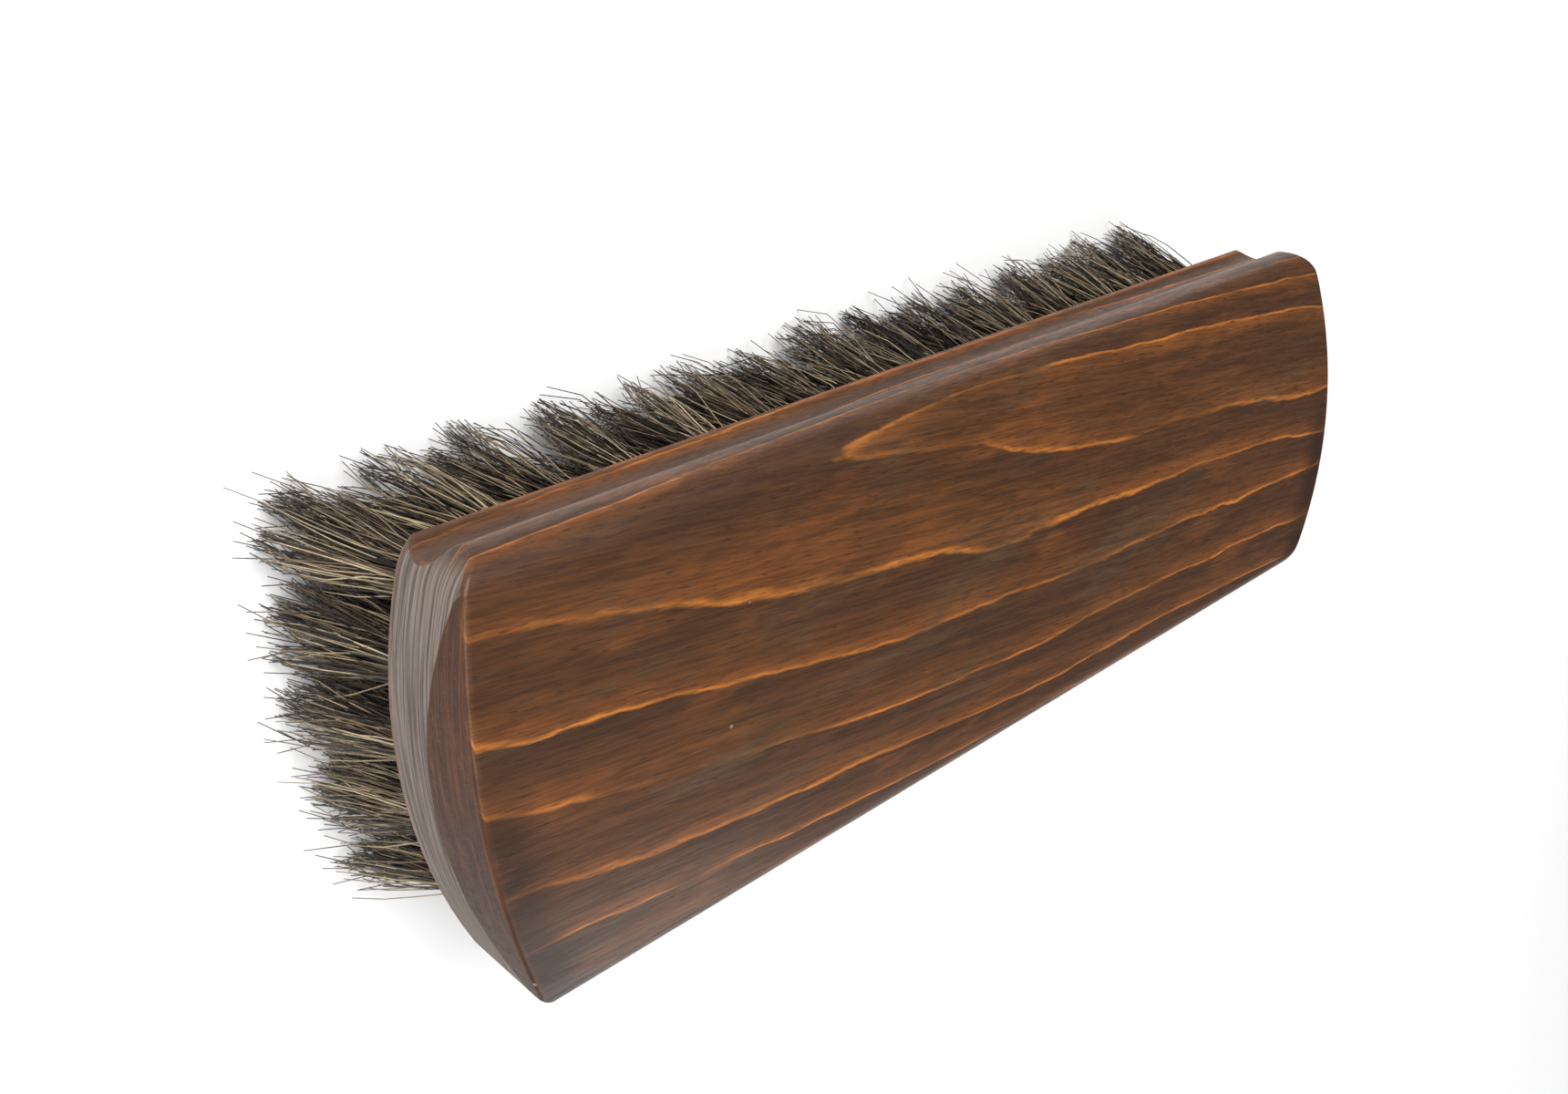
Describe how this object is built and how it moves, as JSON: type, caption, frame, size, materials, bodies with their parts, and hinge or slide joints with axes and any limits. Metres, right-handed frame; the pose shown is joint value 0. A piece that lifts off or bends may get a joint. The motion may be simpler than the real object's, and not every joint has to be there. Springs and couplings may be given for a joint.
{
  "type": "block clothes brush",
  "caption": "Hand brush with a coved, stained wooden block back and upright horsehair tufts, for brushing down cloth or leather.",
  "frame": {"origin": "on the plane of the hair tips, under the middle of the wooden block", "axes": "+X along the length of the brush, +Y across it, +Z from the hair tips up to the wooden back"},
  "size_m": [0.183, 0.0586, 0.044],
  "materials": {
    "stained_wood": "walnut-brown stain under a glossy clear lacquer, duller on the end grain",
    "horsehair": "mixed beige, grey and dark brown hair, slightly glossy strands",
    "anchor_wire": "plain drawn flat steel wire"
  },
  "bodies": {
    "root": {"block": "stained_wood", "tuft_row_01": "horsehair", "tuft_row_02": "horsehair", "tuft_row_03": "horsehair", "tuft_row_04": "horsehair", "tuft_row_05": "horsehair", "tuft_row_06": "horsehair", "tuft_row_07": "horsehair", "tuft_row_08": "horsehair", "tuft_row_09": "horsehair", "tuft_row_10": "horsehair", "tuft_row_11": "horsehair", "tuft_row_12": "horsehair", "tuft_row_13": "horsehair", "tuft_row_14": "horsehair", "tuft_row_15": "horsehair", "anchor_row_01": "anchor_wire", "anchor_row_02": "anchor_wire", "anchor_row_03": "anchor_wire", "anchor_row_04": "anchor_wire", "anchor_row_05": "anchor_wire", "anchor_row_06": "anchor_wire", "anchor_row_07": "anchor_wire", "anchor_row_08": "anchor_wire", "anchor_row_09": "anchor_wire", "anchor_row_10": "anchor_wire", "anchor_row_11": "anchor_wire", "anchor_row_12": "anchor_wire", "anchor_row_13": "anchor_wire", "anchor_row_14": "anchor_wire", "anchor_row_15": "anchor_wire"}
  },
  "joints": []
}
